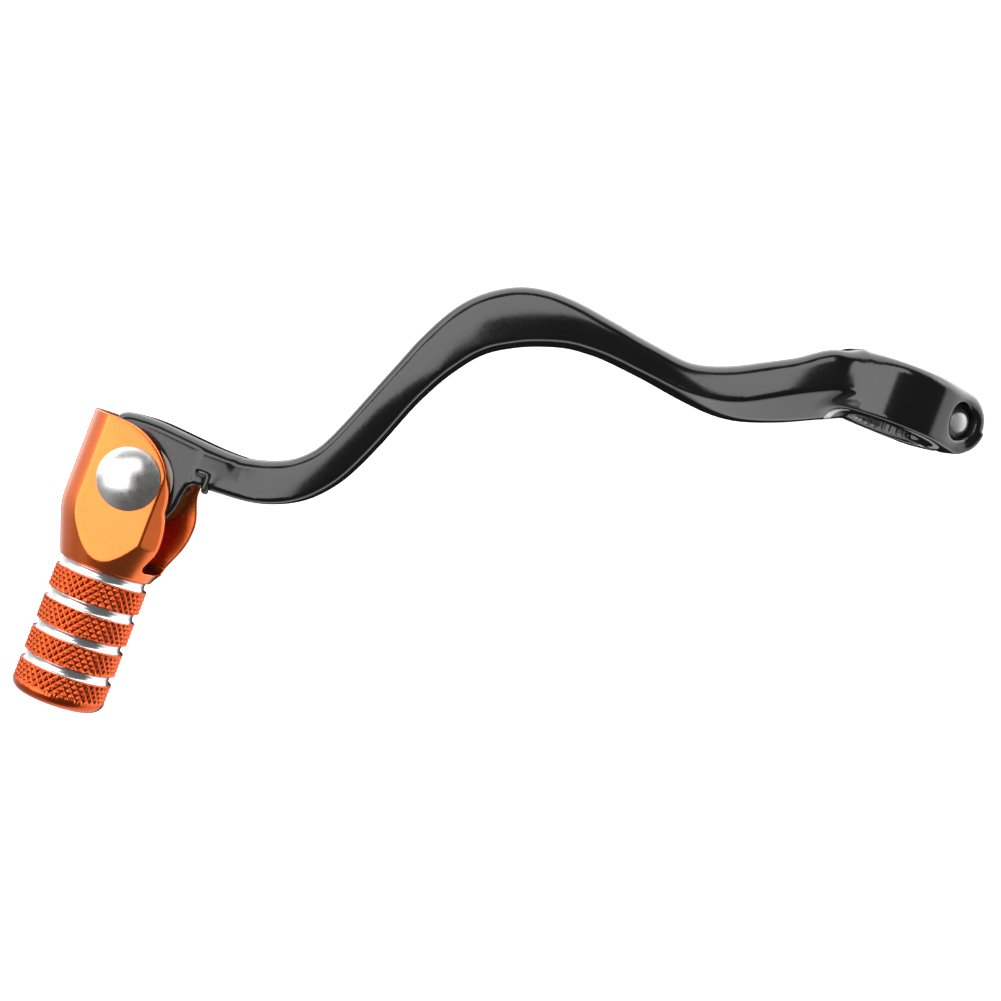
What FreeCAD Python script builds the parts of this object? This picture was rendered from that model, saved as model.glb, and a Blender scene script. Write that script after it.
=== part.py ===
import FreeCAD, Part
import math
import os
import Sketcher

# Folding gear shift lever, left foot, for a motorcycle.
# Millimetres. Origin: centre of the splined clamp bore.
# +Y runs along the bore towards the engine, so the toe peg points along -Y.
# +X runs rearward from the toe peg towards the shaft, +Z is up.

V = FreeCAD.Vector
doc = FreeCAD.newDocument("shift_lever")
sheet = doc.addObject("Spreadsheet::Sheet", "params")
row = [0]


class Dim:
    """A number together with the sheet expression that it stands for."""

    def __init__(self, v, e):
        self.v = float(v)
        self.e = e

    def _pair(self, o):
        return (o.v, o.e) if isinstance(o, Dim) else (float(o), "%.6g" % o if o >= 0 else "(%.6g)" % o)

    def _op(self, o, s, f):
        v, e = self._pair(o)
        return Dim(f(self.v, v), "(%s %s %s)" % (self.e, s, e))

    def __add__(self, o):
        return self._op(o, "+", lambda a, b: a + b)

    def __sub__(self, o):
        return self._op(o, "-", lambda a, b: a - b)

    def __mul__(self, o):
        return self._op(o, "*", lambda a, b: a * b)

    def __truediv__(self, o):
        return self._op(o, "/", lambda a, b: a / b)

    def __neg__(self):
        return Dim(-self.v, "(-%s)" % self.e)


def cell(name, value, note=""):
    row[0] += 1
    sheet.set("A%d" % row[0], name)
    sheet.set("B%d" % row[0], "%.6g" % value)
    if note:
        sheet.set("C%d" % row[0], note)
    sheet.setAlias("B%d" % row[0], name)
    return Dim(value, "params." + name)


P = {}
for name, value, note in [
    ("pivot_x", -131.7, "toe peg pivot, from the bore centre"),
    ("pivot_y", -67.3, ""),
    ("body_rad", 12.6, "clevis outside radius"),
    ("flat_half", 9.9, "half distance over the clevis flats"),
    ("slot_half", 6.4, "half width of the clevis slot"),
    ("clevis_top", 10.2, "clevis end beyond the pivot"),
    ("cone_from", 8.9, "cone start below the pivot"),
    ("cone_to", 18.2, "cone end, knurl start"),
    ("knurl_rad", 9.2, "radius over the knurl"),
    ("peg_end", 45.9, "pivot to the free end"),
    ("end_round", 2.3, "rounding of the free end"),
    ("groove_deep", 0.6, ""),
    ("groove_half", 0.95, ""),
    ("groove_one", 19.4, ""),
    ("groove_two", 25.9, ""),
    ("groove_three", 32.4, ""),
    ("groove_four", 38.8, ""),
    ("slot_floor", 16.3, "slot bottom below the pivot"),
    ("pocket_rad", 10.1, "round part of the slot"),
    ("stop_gap", 0.15, "gap at the fold stop"),
    ("stop_x", 7.5, "flat of the fold stop, ahead of the pivot"),
    ("knuckle_half", 5.75, "half thickness of the knuckle"),
    ("knuckle_rad", 9.7, "round part of the knuckle"),
    ("rivet_rad", 2.95, "rivet shank"),
    ("rivet_bore", 2.98, "rivet hole in the cheeks"),
    ("dome_rad", 6.1, ""),
    ("dome_high", 2.3, ""),
    ("tail_rad", 4.3, ""),
    ("tail_high", 1.3, ""),
    ("washer_thick", 0.8, "rivet washer"),
    ("washer_rad", 5.6, ""),
    ("bush_in", 3.0, ""),
    ("bush_out", 3.9, ""),
    ("thrust_rad", 7.6, ""),
    ("thrust_thick", 0.5, ""),
    ("well_rad", 6.4, "spring well in the knuckle"),
    ("well_floor", 0.4, ""),
    ("wire_rad", 0.6, ""),
    ("coil_rad", 5.05, ""),
    ("boss_rad", 12.9, ""),
    ("boss_half", 6.0, ""),
    ("bore_minor", 6.0, "over the spline crests"),
    ("bore_major", 6.55, "over the spline roots"),
    ("spline_count", 26, ""),
    ("ear_reach", 11.0, "bore centre to clamp bolt"),
    ("ear_half", 8.5, "half depth over both ears"),
    ("ear_turn", 23.0, "droop of the ears"),
    ("slit_wide", 1.6, ""),
    ("bolt_rad", 3.0, "M6"),
    ("bolt_clear", 3.3, ""),
    ("mouth_rad", 3.5, ""),
    ("mouth_deep", 1.9, ""),
    ("hex_across", 8.0, ""),
    ("hex_high", 5.2, ""),
    ("flange_rad", 5.8, ""),
    ("flange_high", 1.3, ""),
    ("arm_edge", 1.3, "edge break of the arm section"),
]:
    P[name] = cell(name, value, note)

# Arm stations: centre x, centre y, turn, width, top, base, ledge width, ledge drop.
stations = [
    (-121.5, -60.6, 3.0, 8.0, 5.75, -5.75, 0.4, 1.3),
    (-118.3, -60.3, 6.5, 8.0, 5.75, -5.75, 0.4, 1.3),
    (-115.0, -60.1, 10.5, 7.95, 5.75, -5.75, 0.4, 1.3),
    (-109.8, -59.3, 17.2, 8.4, 6.0, -5.8, 0.4, 1.3),
    (-104.0, -57.2, 25.5, 8.3, 6.4, -5.8, 0.4, 1.3),
    (-100.0, -53.9, 39.9, 7.75, 6.7, -5.8, 0.4, 1.3),
    (-96.3, -48.3, 59.0, 7.4, 7.0, -5.7, 0.4, 1.3),
    (-93.2, -40.9, 67.6, 7.45, 7.3, -5.6, 0.4, 1.3),
    (-90.0, -32.5, 68.6, 7.45, 7.6, -5.4, 0.4, 1.3),
    (-86.7, -25.1, 64.4, 8.34, 8.1, -5.2, 0.4, 1.3),
    (-83.1, -19.0, 56.3, 9.48, 8.5, -5.0, 0.4, 1.3),
    (-78.8, -14.4, 39.2, 10.6, 8.8, -4.8, 0.4, 1.3),
    (-73.3, -11.2, 22.4, 10.8, 9.0, -4.7, 0.4, 1.3),
    (-66.6, -9.6, 7.7, 9.24, 9.0, -4.7, 0.4, 1.3),
    (-59.4, -9.4, -1.9, 7.13, 8.9, -4.9, 0.4, 1.3),
    (-52.3, -10.0, -3.6, 6.17, 8.7, -5.3, 0.4, 1.3),
    (-45.5, -10.8, -2.0, 5.95, 8.5, -5.8, 0.45, 1.6),
    (-39.2, -11.4, 6.6, 6.5, 8.5, -6.6, 0.7, 3.0),
    (-32.2, -10.7, 19.7, 9.1, 8.7, -7.6, 2.1, 6.0),
    (-24.8, -8.2, 31.3, 11.1, 9.0, -8.6, 3.9, 8.5),
    (-18.1, -5.0, 36.5, 11.8, 9.4, -9.2, 4.8, 10.0),
    (-12.4, -1.1, 37.0, 13.2, 9.6, -9.2, 4.6, 10.2),
    (-8.6, 0.9, 37.0, 11.0, 9.0, -8.6, 3.4, 9.6),
]
S = []
for i, st in enumerate(stations):
    keys = ("sx", "sy", "turn", "wide", "top", "base", "ledge", "drop")
    S.append({k: cell("arm_%s_%02d" % (k, i), v) for k, v in zip(keys, st)})
doc.recompute()


def plane(body, role):
    return [f for f in body.Origin.OriginFeatures if f.Role == role][0]


def new_sketch(body, name, role, base=None, axis=None, turn=None):
    """Sketch on an origin plane of its own body, with a bound offset."""
    sk = body.newObject("Sketcher::SketchObject", name)
    sk.AttachmentSupport = [(plane(body, role), "")]
    sk.MapMode = "FlatFace"
    b = [q.v if isinstance(q, Dim) else float(q) for q in (base or (0, 0, 0))]
    t = turn.v if isinstance(turn, Dim) else float(turn or 0)
    sk.AttachmentOffset = FreeCAD.Placement(V(*b), FreeCAD.Rotation(V(*(axis or (0, 0, 1))), t))
    for q, k in zip(base or (0, 0, 0), "xyz"):
        if isinstance(q, Dim):
            sk.setExpression("AttachmentOffset.Base." + k, q.e)
    if isinstance(turn, Dim):
        sk.setExpression("AttachmentOffset.Rotation.Angle", turn.e)
    return sk


def num(q):
    return q.v if isinstance(q, Dim) else float(q)


def polygon(sk, pts):
    """Closed outline of straight lines, every corner held to the sheet."""
    first = sk.GeometryCount
    n = len(pts)
    for i in range(n):
        a, b = pts[i], pts[(i + 1) % n]
        sk.addGeometry(Part.LineSegment(V(num(a[0]), num(a[1]), 0), V(num(b[0]), num(b[1]), 0)), False)
    for i in range(n):
        sk.addConstraint(Sketcher.Constraint("Coincident", first + i, 2, first + (i + 1) % n, 1))
    for i in range(n):
        for k, kind in ((0, "DistanceX"), (1, "DistanceY")):
            q = pts[i][k]
            j = sk.addConstraint(Sketcher.Constraint(kind, -1, 1, first + i, 1, num(q)))
            if isinstance(q, Dim):
                sk.setExpression("Constraints[%d]" % j, q.e)


def circle(sk, cx, cy, rad):
    g = sk.addGeometry(Part.Circle(V(num(cx), num(cy), 0), V(0, 0, 1), num(rad)), False)
    j = sk.addConstraint(Sketcher.Constraint("Radius", g, num(rad)))
    if isinstance(rad, Dim):
        sk.setExpression("Constraints[%d]" % j, rad.e)
    for q, kind in ((cx, "DistanceX"), (cy, "DistanceY")):
        j = sk.addConstraint(Sketcher.Constraint(kind, -1, 1, g, 3, num(q)))
        if isinstance(q, Dim):
            sk.setExpression("Constraints[%d]" % j, q.e)


def pad(body, name, sk, length, both=True):
    f = body.newObject("PartDesign::Pad", name)
    f.Profile = sk
    f.Midplane = both
    f.Length = num(length)
    if isinstance(length, Dim):
        f.setExpression("Length", length.e)
    doc.recompute()
    return f


def pocket(body, name, sk, length, both=True):
    before = body.Tip.Shape.Volume
    f = body.newObject("PartDesign::Pocket", name)
    f.Profile = sk
    f.Midplane = both
    f.Length = num(length)
    if isinstance(length, Dim):
        f.setExpression("Length", length.e)
    doc.recompute()
    if not f.Shape.Volume < before - 0.01:
        raise RuntimeError("nothing cut by " + name)
    return f


def one_side(body, name, sk, length, up):
    """Cuts from the sketch plane to one side only: up is along its normal."""
    before = body.Tip.Shape.Volume
    f = body.newObject("PartDesign::Pocket", name)
    f.Profile = sk
    f.Reversed = up
    f.Length = length
    doc.recompute()
    if not f.Shape.Volume < before - 0.01:
        raise RuntimeError("nothing cut by " + name)
    return f


def at_pivot(body):
    body.Placement = FreeCAD.Placement(V(P["pivot_x"].v, P["pivot_y"].v, 0), FreeCAD.Rotation())
    body.setExpression("Placement.Base.x", P["pivot_x"].e)
    body.setExpression("Placement.Base.y", P["pivot_y"].e)


def revolve(body, name, sk, which):
    f = body.newObject("PartDesign::Revolution", name)
    f.Profile = sk
    f.ReferenceAxis = (sk, [which])
    f.Angle = 360
    doc.recompute()
    return f


def body_named(name):
    b = doc.addObject("PartDesign::Body", name)
    b.Label = name
    return b


# ---------------------------------------------------------------- lever arm
arm = body_named("lever_arm")
edge = P["arm_edge"]
rings = []
for i, st in enumerate(S):
    # the section plane stands upright across the arm: local x crosses it, local y is up
    sk = new_sketch(arm, "section_%02d" % i, "XZ_Plane", (st["sx"], 0, -st["sy"]), (0, 1, 0), st["turn"] + 90)
    hw = st["wide"] / 2
    polygon(sk, [
        (hw - edge, st["top"]),
        (hw, st["top"] - edge),
        (hw, st["base"] + edge),
        (hw - edge, st["base"]),
        (-hw + edge, st["base"]),
        (-hw, st["base"] + edge),
        (-hw, st["top"] - st["drop"]),
        (-hw + st["ledge"], st["top"] - edge * 0.35),
        (-hw + st["ledge"] + edge * 0.8, st["top"]),
    ])
    rings.append(sk)
doc.recompute()
loft = arm.newObject("PartDesign::AdditiveLoft", "arm_sweep")
loft.Profile = rings[0]
loft.Sections = [(r, [""]) for r in rings[1:]]
loft.Ruled = False
doc.recompute()

# knuckle: a flat eye round the pivot, with a square shoulder that stops the fold at rest
px, py, kr = P["pivot_x"], P["pivot_y"], P["knuckle_rad"]
sk = new_sketch(arm, "knuckle_plan", "XY_Plane")
pts = [(px - P["stop_x"], py + 6.15), (px - P["stop_x"], py + 10.3), (px - 7.0, py + 11.0), (px - 6.2, py + 11.6),
       (px - 4.1, py + 12.05), (px - 1.7, py + 12.25), (px + 0.8, py + 12.25), (px + 3.3, py + 12.1),
       (px + 8.4, py + 11.7), (px + 12.6, py + 11.4), (px + 12.6, py + 3.6), (px + 10.9, py + 3.7), (px + 10.2, py + 2.4)]
for k in range(0, 15):
    a = math.radians(-k * 15)
    pts.append((px + kr * math.cos(a), py + kr * math.sin(a)))
pts.append((px + kr * math.cos(math.radians(142)), py + kr * math.sin(math.radians(142))))
polygon(sk, pts)
pad(arm, "knuckle", sk, P["knuckle_half"] * 2)

# clamp boss round the shaft, and the two ears that droop behind it
sk = new_sketch(arm, "boss_profile", "XY_Plane")
br, bh = P["boss_rad"], P["boss_half"]
polygon(sk, [(0, -bh), (br - 0.8, -bh), (br - 0.25, -bh + 0.25), (br, -bh + 0.8), (br, bh - 0.8), (br - 0.25, bh - 0.25), (br - 0.8, bh), (0, bh)])
revolve(arm, "boss", sk, "V_Axis")
sk = new_sketch(arm, "ear_plan", "XY_Plane", None, (0, 1, 0), P["ear_turn"])
polygon(sk, [(3.0, -P["boss_half"]), (P["ear_reach"], -P["boss_half"]), (P["ear_reach"], P["boss_half"]), (3.0, P["boss_half"])])
pad(arm, "ear_block", sk, P["ear_half"] * 2)
sk = new_sketch(arm, "ear_round", "XY_Plane", None, (0, 1, 0), P["ear_turn"])
circle(sk, P["ear_reach"], 0, P["boss_half"])
pad(arm, "ear_end", sk, P["ear_half"] * 2)


def soften(body, name, picks, rad):
    """Rounds the picked edges; keeps the last good tip when a radius does not fit."""
    tip = body.Tip
    if not picks:
        return
    f = body.newObject("PartDesign::Fillet", name)
    f.Base = (tip, picks)
    f.Radius = rad
    doc.recompute()
    if "Invalid" in f.State or "Error" in f.State or f.Shape.isNull() or not f.Shape.isValid():
        print("no round:", name)
        body.removeObject(f)
        doc.removeObject(f.Name)
        body.Tip = tip
        doc.recompute()


def edges_where(shape, test):
    return ["Edge%d" % (i + 1) for i, e in enumerate(shape.Edges) if test(e)]


ct, sn = math.cos(math.radians(P["ear_turn"].v)), math.sin(math.radians(P["ear_turn"].v))


def on_ear_rim(e):
    """Rim edges of the two outer ear faces, beyond the boss."""
    ok = True
    for t in (0.15, 0.5, 0.85):
        q = e.valueAt(e.FirstParameter + (e.LastParameter - e.FirstParameter) * t)
        depth = q.x * sn + q.z * ct
        reach = q.x * ct - q.z * sn
        ok = ok and abs(abs(depth) - P["ear_half"].v) < 1e-3 and reach > 9.9
    return ok


soften(arm, "ear_rims", edges_where(arm.Tip.Shape, on_ear_rim), 0.8)

# clamp bore with its serrations
sk = new_sketch(arm, "bore_round", "XZ_Plane")
circle(sk, 0, 0, P["bore_minor"])
pocket(arm, "bore", sk, 40)
sk = new_sketch(arm, "tooth_gap", "XZ_Plane")
bm, bo = P["bore_major"], P["bore_minor"]
polygon(sk, [(-0.40, bo - 0.4), (0.40, bo - 0.4), (0.22, bm), (-0.22, bm)])
cut = pocket(arm, "serration", sk, 40)
ring = arm.newObject("PartDesign::PolarPattern", "serrations")
ring.Originals = [cut]
ring.Axis = (sk, ["N_Axis"])
ring.Angle = 360
ring.Occurrences = int(P["spline_count"].v)
ring.setExpression("Occurrences", P["spline_count"].e)
arm.Tip = ring
doc.recompute()

# the slit through the ears
sk = new_sketch(arm, "slit_side", "XZ_Plane", None, (0, 0, 1), -P["ear_turn"])
polygon(sk, [(P["bore_minor"] - 1.0, -P["slit_wide"] / 2), (30, -P["slit_wide"] / 2), (30, P["slit_wide"] / 2), (P["bore_minor"] - 1.0, P["slit_wide"] / 2)])
pocket(arm, "slit", sk, 40)

# clamp bolt hole: threaded through the near ear, clear through the far one, with a counterbored mouth
sk = new_sketch(arm, "bolt_thread", "XY_Plane", None, (0, 1, 0), P["ear_turn"])
circle(sk, P["ear_reach"], 0, P["bolt_rad"])
pocket(arm, "thread_hole", sk, 40)
sk = new_sketch(arm, "bolt_way", "XY_Plane", None, (0, 1, 0), P["ear_turn"])
circle(sk, P["ear_reach"], 0, P["bolt_clear"])
one_side(arm, "clear_hole", sk, 20, False)
lift = P["ear_half"] - P["mouth_deep"]
sk = new_sketch(arm, "bolt_mouth", "XY_Plane", (lift * sn, 0, lift * ct), (0, 1, 0), P["ear_turn"])
circle(sk, P["ear_reach"], 0, P["mouth_rad"])
one_side(arm, "mouth", sk, 20, True)

# pivot hole, spring well and the way out for the spring's fixed leg
sk = new_sketch(arm, "bush_hole", "XY_Plane")
circle(sk, px, py, P["bush_out"])
pocket(arm, "pivot_hole", sk, 40)
sk = new_sketch(arm, "well_plan", "XY_Plane", (0, 0, P["well_floor"]))
circle(sk, px, py, P["well_rad"])
one_side(arm, "spring_well", sk, 20, True)
sk = new_sketch(arm, "leg_way_plan", "XY_Plane", (0, 0, P["well_floor"]))
leg_y = py + P["coil_rad"]
polygon(sk, [(px + 1.0, leg_y - 0.85), (px + 11.4, leg_y - 0.85), (px + 11.4, leg_y + 0.85), (px + 1.0, leg_y + 0.85)])
one_side(arm, "leg_way", sk, 20, True)
sk = new_sketch(arm, "leg_seat_plan", "XY_Plane", (0, 0, 4.6))
polygon(sk, [(px + 10.5, py + 5.1), (px + 12.6, py + 5.1), (px + 12.6, py + 1.5), (px + 14.0, py + 1.5), (px + 14.0, py + 6.55), (px + 10.5, py + 6.55)])
one_side(arm, "leg_seat", sk, 20, True)

# ---------------------------------------------------------------- toe peg
# one turned and milled piece: clevis, cone and knurled grip with four grooves
peg = body_named("toe_peg")
R, K, E = P["body_rad"], P["knurl_rad"], P["peg_end"]
gd, gh = P["groove_deep"], P["groove_half"]
half = [(0, P["clevis_top"]), (R - 0.6, P["clevis_top"]), (R, P["clevis_top"] - 0.6), (R, -P["cone_from"]), (K + 0.1, -P["cone_to"]), (K, -P["cone_to"] - 0.1)]
for key in ("groove_one", "groove_two", "groove_three", "groove_four"):
    g = -P[key]
    half += [(K, g + gh), (K - gd * 0.75, g + gh * 0.55), (K - gd, g), (K - gd * 0.75, g - gh * 0.55), (K, g - gh)]
er = P["end_round"]
for k in range(0, 6):
    a = math.radians(18 * k)
    half.append((K - er + er * math.cos(a), -E + er - er * math.sin(a)))
half.append((0, -E))
sk = new_sketch(peg, "turned_profile", "XY_Plane")
polygon(sk, half)
revolve(peg, "turned", sk, "V_Axis")
fh = P["flat_half"]
for side, tag in ((1, "upper"), (-1, "lower")):
    sk = new_sketch(peg, tag + "_flat_side", "YZ_Plane")
    polygon(sk, [(P["clevis_top"] + 1, fh * side), (-P["cone_to"], fh * side), (-P["cone_to"], (R + 2) * side), (P["clevis_top"] + 1, (R + 2) * side)])
    pocket(peg, tag + "_flat", sk, 60)
# slot for the knuckle: open at the top and towards the shaft, closed at the front
sk = new_sketch(peg, "slot_plan", "XY_Plane")
pr = P["pocket_rad"]
wall = -P["stop_x"] - P["stop_gap"]
pts = [(wall, P["clevis_top"] + 1), (wall, 6.55)]
for k in range(0, 10):
    a = math.radians(142 + k * 128 / 9.0)
    pts.append((pr * math.cos(a), pr * math.sin(a)))
sf = P["slot_floor"]
pts += [(1.2, -sf + 3.2), (2.2, -sf + 1.0), (4.0, -sf), (R + 1, -sf), (R + 1, P["clevis_top"] + 1)]
polygon(sk, pts)
pocket(peg, "slot", sk, P["slot_half"] * 2)
# the near cheek is swept back on the shaft side
sk = new_sketch(peg, "cheek_sweep_plan", "XY_Plane")
cx, cy, cr = -5.7, -3.8, 14.0
pts = [(R + 1, P["clevis_top"] + 1), (cx, P["clevis_top"] + 1), (cx, P["clevis_top"])]
for k in range(1, 12):
    a = math.radians(90 - k * 7.6)
    pts.append((cx + cr * math.cos(a), cy + cr * math.sin(a)))
pts += [(9.2, -6.5), (9.6, -9.0), (9.6, -13.5), (R + 1, -13.5)]
polygon(sk, pts)
one_side(peg, "cheek_sweep", sk, 20, True)
sk = new_sketch(peg, "rivet_hole_plan", "XY_Plane")
circle(sk, 0, 0, P["rivet_bore"])
pocket(peg, "rivet_hole", sk, 40)
# blind hole for the end of the spring's moving leg, in the underside of the near cheek
sk = new_sketch(peg, "leg_hole_plan", "XY_Plane")
circle(sk, -P["coil_rad"], 0, P["wire_rad"] + 0.1)
one_side(peg, "leg_hole", sk, 8.3, True)
at_pivot(peg)

# ---------------------------------------------------------------- pivot pieces
rivet = body_named("pivot_rivet")
sk = new_sketch(rivet, "rivet_profile", "XZ_Plane")
dr, dh, tr, th, wt = P["dome_rad"], P["dome_high"], P["tail_rad"], P["tail_high"], P["washer_thick"]
pts = [(0, -fh - wt - th)]
for k in range(1, 6):
    a = math.radians(18 * k)
    pts.append((tr * math.sin(a), -fh - wt - th * math.cos(a)))
pts += [(P["rivet_rad"], -fh - wt), (P["rivet_rad"], fh), (dr, fh), (dr, fh + 0.45)]
for k in range(1, 8):
    a = math.radians(90 - 90 * k / 8.0)
    pts.append((dr * math.sin(a), fh + 0.45 + (dh - 0.45) * math.cos(a)))
pts.append((0, fh + dh))
polygon(sk, pts)
revolve(rivet, "turned", sk, "V_Axis")
at_pivot(rivet)


def ring_part(name, inner, outer, low, thick):
    b = body_named(name)
    sk = new_sketch(b, name + "_plan", "XY_Plane", (0, 0, low))
    circle(sk, 0, 0, outer)
    circle(sk, 0, 0, inner)
    pad(b, name + "_pad", sk, thick, False)
    at_pivot(b)
    return b


kh = P["knuckle_half"]
tail_washer = ring_part("rivet_washer", P["rivet_bore"], P["washer_rad"], -fh - wt, wt)
bush = ring_part("pivot_bush", P["bush_in"], P["bush_out"], -kh, kh * 2)
upper = ring_part("upper_thrust_washer", P["bush_in"] + 0.05, P["thrust_rad"], kh, P["thrust_thick"])
lower = ring_part("lower_thrust_washer", P["bush_in"] + 0.05, P["thrust_rad"], -kh - P["thrust_thick"], P["thrust_thick"])
# the spring's moving leg passes up through a window in the upper thrust washer
sk = new_sketch(upper, "leg_window_plan", "XY_Plane")
circle(sk, -P["coil_rad"], 0, P["wire_rad"] + 0.15)
one_side(upper, "leg_window", sk, 12, True)

# ---------------------------------------------------------------- clamp bolt
bolt = body_named("clamp_bolt")
top = P["ear_half"] - P["mouth_deep"]
sk = new_sketch(bolt, "bolt_profile", "XZ_Plane")
eh, brd, fr, fl = P["ear_half"], P["bolt_rad"], P["flange_rad"], P["flange_high"]
polygon(sk, [(0, -eh - fl - 0.5), (fr - 2.4, -eh - fl - 0.5), (fr - 0.3, -eh - fl + 0.3), (fr, -eh - fl + 0.8), (fr, -eh), (brd, -eh), (brd, top - 0.6), (brd - 0.5, top), (0, top)])
revolve(bolt, "turned", sk, "V_Axis")
sk = new_sketch(bolt, "hex_plan", "XY_Plane", (0, 0, -eh - fl - 0.4))
hx = P["hex_across"]
polygon(sk, [(hx * 0.57735 * math.cos(math.radians(60 * k)), hx * 0.57735 * math.sin(math.radians(60 * k))) for k in range(6)])
f = bolt.newObject("PartDesign::Pad", "hex_head")
f.Profile = sk
f.Midplane = False
f.Reversed = True
f.Length = P["hex_high"].v
f.setExpression("Length", P["hex_high"].e)
doc.recompute()
turn = FreeCAD.Rotation(V(0, 1, 0), P["ear_turn"].v)
bolt.Placement = FreeCAD.Placement(turn.multVec(V(P["ear_reach"].v, 0, 0)), turn)
er_ = P["ear_reach"].e
bolt.setExpression("Placement.Base.x", "%s * cos(%s * 1 deg)" % (er_, P["ear_turn"].e))
bolt.setExpression("Placement.Base.z", "-%s * sin(%s * 1 deg)" % (er_, P["ear_turn"].e))
bolt.setExpression("Placement.Rotation.Angle", P["ear_turn"].e)

# ---------------------------------------------------------------- return spring
# torsion coil round the bush; its lower leg hooks over the arm, its upper leg stands in the near cheek
wr, cr_ = P["wire_rad"].v, P["coil_rad"].v
z0 = P["well_floor"].v + wr + 0.05
turns, rise = 2.25, 1.36
steps = 48
path = []
pxv, pyv = P["pivot_x"].v, P["pivot_y"].v
start = 90.0
helix = Part.makeLongHelix(rise, rise * turns, cr_, 0, False)
wire = Part.Wire(helix.Edges)
prof = Part.Wire(Part.makeCircle(wr, V(cr_, 0, 0), V(0, 2 * math.pi * cr_, rise)))
coil = wire.makePipeShell([prof], True, True)
coil.rotate(V(0, 0, 0), V(0, 0, 1), start)
coil.translate(V(0, 0, z0))


def rod(a, b):
    return Part.makeCylinder(wr, (b - a).Length, a, b - a)


def ball(a):
    return Part.makeSphere(wr, a)


# the helix starts at the top of its circle (local +Y) and climbs towards -X
low_end = V(0, cr_, z0)
out = V(10.0, cr_, z0)
climb = V(11.1, 5.85, 5.25)
over = V(13.3, 5.85, 5.25)
edge_pt = V(13.3, 2.75, 5.25)
down = V(13.3, 2.6, 3.0)
high = V(cr_ * math.cos(math.radians(start + 360 * turns)), cr_ * math.sin(math.radians(start + 360 * turns)), z0 + rise * turns)
lift_a = V(high.x, high.y, high.z)
lift_b = V(-cr_, 0, 7.7)
shape = coil
for piece in (rod(low_end, out), ball(out), rod(out, climb), ball(climb), rod(climb, over), ball(over), rod(over, edge_pt), ball(edge_pt), rod(edge_pt, down), ball(down),
              ball(low_end), ball(lift_a), rod(lift_a, lift_b)):
    shape = shape.fuse(piece)
spring = doc.addObject("Part::Feature", "return_spring")
spring.Label = "return_spring"
spring.Shape = shape.removeSplitter() if shape.isValid() else shape
spring.Placement = FreeCAD.Placement(V(pxv, pyv, 0), FreeCAD.Rotation())

doc.recompute()

parts = [arm, peg, rivet, tail_washer, bush, upper, lower, bolt, spring]
bad = [o.Name for o in doc.Objects if "Invalid" in o.State or "Error" in o.State]
if bad:
    raise RuntimeError("failed objects: " + ", ".join(bad))
os.makedirs("parts", exist_ok=True)
for o in parts:
    if o.Shape.isNull() or not o.Shape.isValid() or len(o.Shape.Solids) < 1:
        raise RuntimeError("bad shape: " + o.Label)
    print(o.Label, "solids", len(o.Shape.Solids), "volume %.1f" % o.Shape.Volume, "box", o.Shape.BoundBox)
for o in parts:
    o.Shape.exportStep("parts/%s.step" % o.Label)
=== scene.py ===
import bpy
import math
import numpy as np
import openvdb
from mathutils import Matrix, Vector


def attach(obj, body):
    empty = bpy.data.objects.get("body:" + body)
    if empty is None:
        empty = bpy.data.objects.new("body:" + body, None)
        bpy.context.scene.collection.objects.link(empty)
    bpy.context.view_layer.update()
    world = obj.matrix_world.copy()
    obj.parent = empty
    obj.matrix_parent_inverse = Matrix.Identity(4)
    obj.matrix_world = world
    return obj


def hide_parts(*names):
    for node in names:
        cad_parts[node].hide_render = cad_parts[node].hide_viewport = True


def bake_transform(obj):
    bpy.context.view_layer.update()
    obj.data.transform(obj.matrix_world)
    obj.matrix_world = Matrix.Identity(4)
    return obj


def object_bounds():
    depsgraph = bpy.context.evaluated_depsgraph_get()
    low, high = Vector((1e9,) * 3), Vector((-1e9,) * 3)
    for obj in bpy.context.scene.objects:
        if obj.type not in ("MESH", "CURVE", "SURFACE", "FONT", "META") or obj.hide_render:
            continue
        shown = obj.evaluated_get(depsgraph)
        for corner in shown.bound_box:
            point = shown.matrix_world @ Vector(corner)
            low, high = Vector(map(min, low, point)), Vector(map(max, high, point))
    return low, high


# Folding gear shift lever. Lengths below are in millimetres in the row frame
# and are turned into metres when a mesh is made.

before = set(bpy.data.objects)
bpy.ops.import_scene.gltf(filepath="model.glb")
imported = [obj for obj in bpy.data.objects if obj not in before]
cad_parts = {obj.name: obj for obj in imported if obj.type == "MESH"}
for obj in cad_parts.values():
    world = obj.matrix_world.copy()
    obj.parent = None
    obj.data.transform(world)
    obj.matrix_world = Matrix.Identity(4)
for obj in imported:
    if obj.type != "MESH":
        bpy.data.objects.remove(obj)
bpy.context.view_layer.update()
SC = bpy.context.scene
PIV = np.array([-131.7, -67.3])
f32 = np.float32


# ------------------------------------------------------------------ solids as distance fields
def smin(a, b, k):
    h = np.clip(0.5 + 0.5 * (b - a) / k, 0, 1)
    return b * (1 - h) + a * h - k * h * (1 - h)


def smax(a, b, k):
    return -smin(-a, -b, k)


def rounded(d2, w, half, r):
    """Plan distance d2 carried up to |w| = half, with its rims rounded by r."""
    qx, qy = d2 + r, np.abs(w) - half + r
    return np.minimum(np.maximum(qx, qy), 0) + np.sqrt(np.maximum(qx, 0) ** 2 + np.maximum(qy, 0) ** 2) - r


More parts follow.
